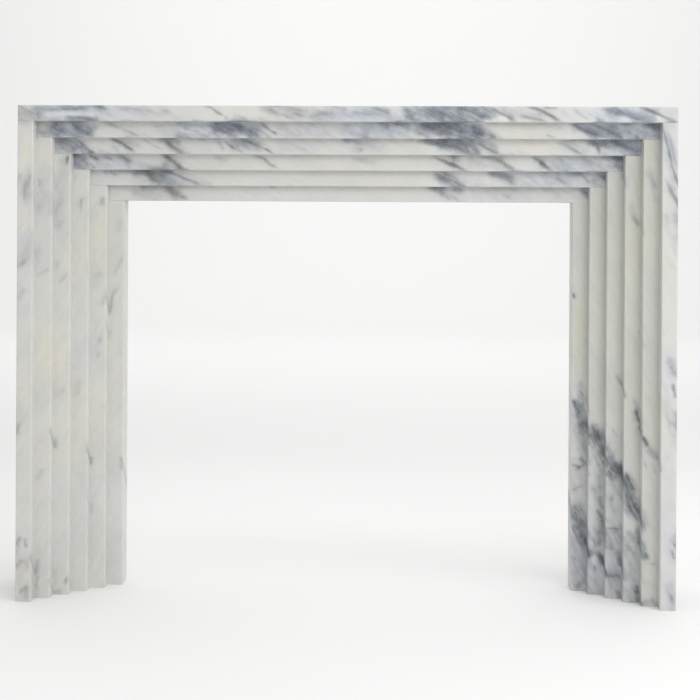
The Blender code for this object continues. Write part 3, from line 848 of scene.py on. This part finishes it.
# Thin veins, listed as the patches are
LINTEL_VEINS = [
    (1, 0.0030, 0.26, [(0.060, 0.010), (0.130, 0.009), (0.170, 0.004)]),
    (1, 0.0030, 0.50, [(0.174, 0.001), (0.192, 0.006), (0.208, 0.012)]),
    (1, 0.0025, 0.18, [(0.235, 0.003), (0.300, 0.014), (0.336, 0.024)]),
    (1, 0.0040, 0.15, [(0.328, 0.016), (0.350, 0.015)]),
    (1, 0.0028, 0.42, [(0.108, 0.026), (0.145, 0.028), (0.182, 0.035)]),
    (1, 0.0025, 0.44, [(0.425, 0.002), (0.443, 0.005), (0.459, 0.015), (0.474, 0.024)]),
    (1, 0.0020, 0.30, [(0.478, 0.024), (0.480, 0.034)]),
    (1, 0.0030, 0.28, [(0.568, 0.004), (0.603, 0.020), (0.632, 0.030)]),
    (1, 0.0030, 0.30, [(0.617, 0.003), (0.652, 0.014)]),
    (1, 0.0025, 0.26, [(0.630, 0.017), (0.677, 0.026)]),
    (1, 0.0025, 0.30, [(0.722, 0.001), (0.752, 0.009)]),
    (1, 0.0025, 0.30, [(0.763, 0.014), (0.812, 0.021)]),
    (1, 0.0030, 0.38, [(0.806, 0.002), (0.850, 0.016)]),
    (1, 0.0020, 0.55, [(0.863, 0.034), (0.878, 0.034)]),
    (1, 0.0030, 0.50, [(0.888, 0.006), (0.894, 0.016), (0.905, 0.028)]),
    (1, 0.0025, 0.35, [(0.930, 0.004), (0.990, 0.024), (1.030, 0.034)]),
    (1, 0.0025, 0.35, [(1.000, 0.002), (1.060, 0.022)]),
    (1, 0.0042, 0.54, [(1.075, 0.003), (1.113, 0.022), (1.134, 0.035)]),
    (1, 0.0030, 0.38, [(1.141, 0.022), (1.170, 0.027), (1.203, 0.036)]),
    (1, 0.0032, 0.64, [(1.164, 0.001), (1.197, 0.014), (1.238, 0.036)]),
    (1, 0.0025, 0.46, [(1.195, 0.002), (1.212, 0.005), (1.230, 0.003)]),
    (1, 0.0020, 0.22, [(1.262, 0.004), (1.300, 0.030)]),
    (1, 0.0030, 0.34, [(1.328, 0.002), (1.380, 0.018), (1.430, 0.034)]),
    (1, 0.0034, 0.76, [(1.416, 0.001), (1.455, 0.018), (1.496, 0.036)]),
    (2, 0.0025, 0.62, [(0.118, 0.004), (0.137, 0.017), (0.163, 0.033)]),
    (2, 0.0032, 0.30, [(0.200, 0.002), (0.233, 0.016), (0.276, 0.035)]),
    (2, 0.0025, 0.26, [(0.370, 0.012), (0.400, 0.020), (0.416, 0.020)]),
    (2, 0.0030, 0.36, [(0.450, 0.012), (0.480, 0.028), (0.500, 0.036)]),
    (2, 0.0035, 0.40, [(0.480, 0.004), (0.540, 0.026)]),
    (2, 0.0028, 0.54, [(0.552, 0.002), (0.574, 0.016), (0.592, 0.028)]),
    (2, 0.0035, 0.50, [(0.912, 0.002), (0.960, 0.016), (1.010, 0.034)]),
    (2, 0.0035, 0.50, [(0.960, 0.002), (1.030, 0.026)]),
    (2, 0.0030, 0.40, [(1.030, 0.004), (1.060, 0.018), (1.092, 0.034)]),
    (2, 0.0020, 0.30, [(1.205, 0.028), (1.228, 0.033)]),
    (2, 0.0040, 0.52, [(1.262, 0.002), (1.300, 0.018), (1.345, 0.034)]),
    (2, 0.0035, 0.38, [(1.310, 0.002), (1.370, 0.026)]),
    (2, 0.0025, 0.26, [(1.350, 0.004), (1.400, 0.020)]),
    (2, 0.0045, 0.60, [(1.408, 0.027), (1.418, 0.034)]),
    (3, 0.0060, 0.40, [(0.078, 0.010), (0.096, 0.012)]),
    (3, 0.0034, 0.56, [(0.126, 0.006), (0.146, 0.024), (0.164, 0.036)]),
    (3, 0.0030, 0.35, [(0.108, 0.030), (0.142, 0.016)]),
    (3, 0.0028, 0.54, [(0.200, 0.000), (0.230, 0.012), (0.258, 0.030)]),
    (3, 0.0026, 0.28, [(0.275, 0.001), (0.300, 0.016), (0.322, 0.026)]),
    (3, 0.0050, 0.60, [(0.328, 0.006), (0.346, 0.020), (0.374, 0.036)]),
    (3, 0.0026, 0.34, [(0.466, 0.004), (0.498, 0.028)]),
    (3, 0.0022, 0.58, [(0.508, 0.002), (0.540, 0.015), (0.566, 0.026), (0.582, 0.035)]),
    (3, 0.0025, 0.15, [(0.620, 0.012), (0.662, 0.028)]),
    (3, 0.0030, 0.40, [(0.780, 0.022), (0.787, 0.028)]),
    (3, 0.0040, 0.45, [(0.950, 0.002), (1.000, 0.016), (1.050, 0.036)]),
    (3, 0.0040, 0.45, [(1.000, 0.003), (1.045, 0.020), (1.062, 0.034)]),
    (3, 0.0028, 0.44, [(1.044, 0.002), (1.077, 0.022), (1.104, 0.036)]),
    (3, 0.0028, 0.26, [(1.250, 0.012), (1.293, 0.032)]),
    (3, 0.0040, 0.55, [(1.312, 0.003), (1.330, 0.014), (1.334, 0.034)]),
    (3, 0.0040, 0.45, [(1.355, 0.003), (1.400, 0.018), (1.428, 0.032)]),
    (4, 0.0036, 0.56, [(0.144, 0.001), (0.170, 0.013)]),
    (4, 0.0026, 0.40, [(0.145, 0.018), (0.160, 0.032)]),
    (4, 0.0028, 0.32, [(0.178, 0.002), (0.198, 0.012)]),
    (4, 0.0034, 0.42, [(0.208, 0.001), (0.230, 0.008), (0.246, 0.016)]),
    (4, 0.0050, 0.64, [(0.314, 0.001), (0.333, 0.009), (0.348, 0.020), (0.366, 0.036)]),
    (4, 0.0030, 0.44, [(0.536, 0.002), (0.556, 0.008), (0.570, 0.022), (0.588, 0.032)]),
    (4, 0.0040, 0.82, [(0.950, 0.001), (0.980, 0.015), (1.026, 0.034)]),
    (4, 0.0035, 0.50, [(1.062, 0.003), (1.092, 0.005)]),
    (4, 0.0054, 0.60, [(1.086, 0.001), (1.116, 0.020), (1.142, 0.035)]),
    (4, 0.0046, 0.68, [(1.180, 0.001), (1.198, 0.010), (1.211, 0.023), (1.228, 0.036)]),
    (5, 0.0026, 0.32, [(0.185, 0.002), (0.204, 0.012)]),
    (5, 0.0096, 0.66, [(0.236, -0.004), (0.280, 0.008), (0.304, 0.030), (0.316, 0.046)]),
    (5, 0.0034, 0.42, [(0.310, 0.002), (0.348, 0.013), (0.400, 0.034)]),
    (5, 0.0028, 0.56, [(0.955, 0.004), (0.985, 0.016), (1.026, 0.035)]),
    (5, 0.0028, 0.54, [(0.975, 0.003), (1.014, 0.020)]),
    (5, 0.0026, 0.48, [(0.962, 0.012), (1.004, 0.034)]),
    (5, 0.0045, 0.42, [(1.082, 0.002), (1.126, 0.016), (1.148, 0.034)]),
    (5, 0.0025, 0.30, [(1.240, 0.012), (1.262, 0.028)]),
    (5, 0.0030, 0.35, [(1.300, 0.006), (1.318, 0.028)]),
    (6, 0.0080, 0.50, [(0.300, -0.004), (0.326, 0.012), (0.352, 0.030)]),
    (6, 0.0030, 0.35, [(0.350, 0.024), (0.372, 0.034)]),
    (6, 0.0025, 0.24, [(0.560, 0.002), (0.578, 0.003)]),
    (6, 0.0035, 0.42, [(0.944, 0.002), (0.964, 0.005)]),
    (6, 0.0035, 0.28, [(0.966, 0.008), (0.998, 0.032)]),
    (6, 0.0045, 0.38, [(1.000, 0.002), (1.024, 0.008)]),
    (6, 0.0035, 0.20, [(1.118, 0.012), (1.138, 0.028)]),
    (1, 0.0026, 0.44, [(0.174, 0.000), (0.110, -0.030), (0.060, -0.060)]),
    (1, 0.0026, 0.40, [(0.425, 0.000), (0.360, -0.026), (0.310, -0.060)]),
    (1, 0.0024, 0.30, [(0.617, 0.002), (0.560, -0.026), (0.500, -0.062)]),
    (1, 0.0024, 0.34, [(0.722, 0.000), (0.660, -0.034), (0.620, -0.060)]),
    (1, 0.0026, 0.50, [(1.164, 0.000), (1.090, -0.030), (1.040, -0.062)]),
    (1, 0.0028, 0.50, [(1.416, 0.000), (1.350, -0.028), (1.290, -0.060)]),
    (1, 0.0040, 0.60, [(1.560, -0.010), (1.660, 0.046), (1.740, 0.120)]),
    (3, 0.0035, 0.55, [(1.480, 0.000), (1.600, 0.060), (1.680, 0.130)]),
]

# Patches of tint: middle (distance from the left end, down from the top), half length, half height, strength
LINTEL_TINTS = [
    (1.165, 0.054, 0.055, 0.022, 0.60),
    (1.180, 0.090, 0.060, 0.020, 0.75),
    (0.510, 0.020, 0.040, 0.020, 0.20),
    (0.022, 0.018, 0.030, 0.020, 0.60),
    (0.055, 0.050, 0.022, 0.014, 0.60),
    (0.640, 0.016, 0.060, 0.016, 0.55),
    (0.690, 0.126, 0.100, 0.020, 0.40),
    (0.860, 0.090, 0.060, 0.020, 0.45),
    (0.780, 0.160, 0.140, 0.030, 0.35),
    (0.110, 0.018, 0.070, 0.008, -0.90),
    (0.220, 0.018, 0.080, 0.010, -0.60),
    (0.110, 0.058, 0.060, 0.016, -0.50),
    (0.380, 0.054, 0.040, 0.014, -0.50),
    (0.780, 0.022, 0.090, 0.012, -0.60),
    (0.820, 0.054, 0.070, 0.014, -0.45),
    (1.090, 0.028, 0.030, 0.008, -0.30),
    (1.370, 0.018, 0.050, 0.016, -0.70),
    (1.380, 0.054, 0.070, 0.016, -0.60),
    (1.390, 0.090, 0.050, 0.016, -0.50),
    (0.230, 0.134, 0.080, 0.010, -0.40),
    (0.330, 0.164, 0.040, 0.012, -0.60),
    (1.250, 0.126, 0.070, 0.018, -0.35),
    (1.240, 0.162, 0.080, 0.018, -0.40),
]

# The colours from clear ground to the heart of a seam, and the tints
LINTEL_COLOURS = [
    (0.00, (0.668, 0.673, 0.648)),
    (0.12, (0.590, 0.597, 0.588)),
    (0.25, (0.490, 0.497, 0.492)),
    (0.50, (0.318, 0.326, 0.328)),
    (0.75, (0.204, 0.211, 0.216)),
    (1.00, (0.120, 0.124, 0.128)),
]
LINTEL_CREAM = (1.0, 0.965, 0.905)
LINTEL_LILAC = (0.900, 0.955, 1.085)
LINTEL_COOLNESS = 1.8


def lintel():
    """The block across the top, with a stair in each end that sits on the jambs' stairs."""
    ends = [HALF_WIDTH] + [HALF_WIDTH - edge - JOINT_GAP for edge in STEP_EDGES[1:-1]]
    marks = ends + [HALF_WIDTH - EASED_EDGE, HALF_WIDTH - STEP_EDGES[-1]]
    xs = ruled(marks + [-mark for mark in marks], LINTEL_CELL)

    def is_stone(x, y, z):
        step = np.clip(np.floor((HEIGHT - z) / STEP_FACE), 0, STEP_COUNT - 1).astype(int)
        return (y - FRONT > step * STEP_SETBACK) & (np.abs(x) < np.array(ends)[step])

    points, squares = stone_skin([xs, FRONT + DEPTH_LINES, np.sort(HEIGHT - ACROSS_LINES)], is_stone)
    from_left = points[:, 0] + HALF_WIDTH
    down = HEIGHT - points[:, 2]
    depth = points[:, 1] - FRONT
    seam, veil = seam_greyness(
        from_left, down, depth, LINTEL_CLOUDS, LINTEL_VEINS, LINTEL_SLANT, LINTEL_GRAIN, seed=411
    )
    tint = stone_tint(from_left, down, LINTEL_TINTS, LINTEL_COOLNESS * veil, seed=551)

    ease(points, {1: FRONT, 2: HEIGHT}, (1, -1))
    for side in (-1, 1):
        ease(points, {0: side * HALF_WIDTH, 1: FRONT}, (-side, 1))
    for step in range(STEP_COUNT):
        reach = HALF_WIDTH - STEP_EDGES[step + 1] - JOINT_GAP
        lip = {1: FRONT + STEP_PLANES[step], 2: HEIGHT - STEP_EDGES[step + 1]}
        ease(points, lip, (1, 1), (0, -reach, reach))
    stone = marble("lintel_marble", LINTEL_COLOURS, LINTEL_CREAM, LINTEL_LILAC, lean=LINTEL_GRAIN)
    block("lintel", points, squares, seam, tint, stone)


lintel()

# Studio.
# A pale floor that curves up into a backdrop. A wide key stands in front on the right, a side light brightens
# the faces that look right, and an overhead light and a wash on the wall keep the surroundings white.

BACKDROP_HALF_WIDTH = 14.0
FLOOR_FRONT = -9.0
FLOOR_BACK = 7.0
COVE_RADIUS = 3.0
COVE_POINTS = 24
WALL_TOP = 9.0
PALE_PAINT = (0.90, 0.90, 0.895, 1)
PAINT_ROUGHNESS = 0.9
PAINT_SPECULAR = 0.1
FILL_STRENGTH = 0.54


def backdrop():
    """A level floor that turns up into a wall through a quarter round: a profile carried along X."""
    turn = np.linspace(0, math.pi / 2, COVE_POINTS)
    wall = FLOOR_BACK + COVE_RADIUS
    profile_y = np.concatenate([[FLOOR_FRONT, 0.0], FLOOR_BACK + COVE_RADIUS * np.sin(turn), [wall]])
    profile_z = np.concatenate([[0.0, 0.0], COVE_RADIUS * (1 - np.cos(turn)), [WALL_TOP]])
    edges = (-BACKDROP_HALF_WIDTH, BACKDROP_HALF_WIDTH)
    points = np.array([(x, y, z) for x in edges for y, z in zip(profile_y, profile_z)])
    count = len(profile_y)
    strips = [(i, count + i, count + i + 1, i + 1) for i in range(count - 1)]
    mesh = bpy.data.meshes.new("floor")
    mesh.from_pydata(points.tolist(), [], strips)
    mesh.shade_smooth()
    paint = bpy.data.materials.new("floor_paint")
    paint.use_nodes = True
    shader = paint.node_tree.nodes["Principled BSDF"]
    shader.inputs["Base Color"].default_value = PALE_PAINT
    shader.inputs["Roughness"].default_value = PAINT_ROUGHNESS
    shader.inputs["Specular IOR Level"].default_value = PAINT_SPECULAR
    mesh.materials.append(paint)
    floor = bpy.data.objects.new("floor", mesh)
    bpy.context.scene.collection.objects.link(floor)


def soft_box(name, place, aim, width, height, power):
    """A rectangular area light at place, facing aim, that the camera doesn't see."""
    light = bpy.data.lights.new(name, "AREA")
    light.shape = "RECTANGLE"
    light.size = width
    light.size_y = height
    light.energy = power
    lamp = bpy.data.objects.new(name, light)
    lamp.location = place
    direction = np.array(aim) - np.array(place)
    lamp.rotation_euler = (
        math.atan2(math.hypot(direction[0], direction[1]), -direction[2]),
        0.0,
        math.atan2(-direction[0], direction[1]),
    )
    lamp.visible_camera = False
    bpy.context.scene.collection.objects.link(lamp)


backdrop()
soft_box("key", place=(1.4, -3.7, 2.3), aim=(0.0, 0.0, 0.75), width=3.6, height=1.6, power=54)
soft_box("side", place=(3.2, -1.6, 1.6), aim=(-0.3, 0.0, 0.7), width=1.6, height=2.0, power=33)
soft_box("overhead", place=(0.0, 0.6, 3.8), aim=(0.0, 0.6, 0.0), width=5.0, height=4.0, power=75)
soft_box("wall", place=(0.0, 4.0, 5.0), aim=(0.0, 9.5, 2.5), width=10.0, height=2.0, power=220)

world = bpy.data.worlds.new("fill")
world.use_nodes = True
world.node_tree.nodes["Background"].inputs["Color"].default_value = (1.0, 1.0, 1.0, 1)
world.node_tree.nodes["Background"].inputs["Strength"].default_value = FILL_STRENGTH
bpy.context.scene.world = world
bpy.context.scene.view_settings.view_transform = "Standard"

# Camera.
# It stands a little right of the middle, three metres off, level and turned slightly to the left. The lens
# is shifted down, so that the uprights stay parallel.

PICTURE = 700
FOCAL_PIXELS = 1323.6
HORIZON_ROW = 214.0
SENSOR_WIDTH = 36.0
CAMERA_RIGHT = 0.1020
CAMERA_DISTANCE = 3.0
CAMERA_HEIGHT = 0.8897
CAMERA_ROLL = math.radians(-0.307)
CAMERA_TURN = math.radians(1.736)

camera_data = bpy.data.cameras.new("camera")
camera_data.sensor_width = SENSOR_WIDTH
camera_data.lens = FOCAL_PIXELS / PICTURE * SENSOR_WIDTH
camera_data.shift_y = (HORIZON_ROW - PICTURE / 2) / PICTURE
camera = bpy.data.objects.new("camera", camera_data)
camera.location = (CAMERA_RIGHT, FRONT - CAMERA_DISTANCE, CAMERA_HEIGHT)
camera.rotation_euler = (math.pi / 2, CAMERA_ROLL, CAMERA_TURN)
bpy.context.scene.collection.objects.link(camera)
bpy.context.scene.camera = camera
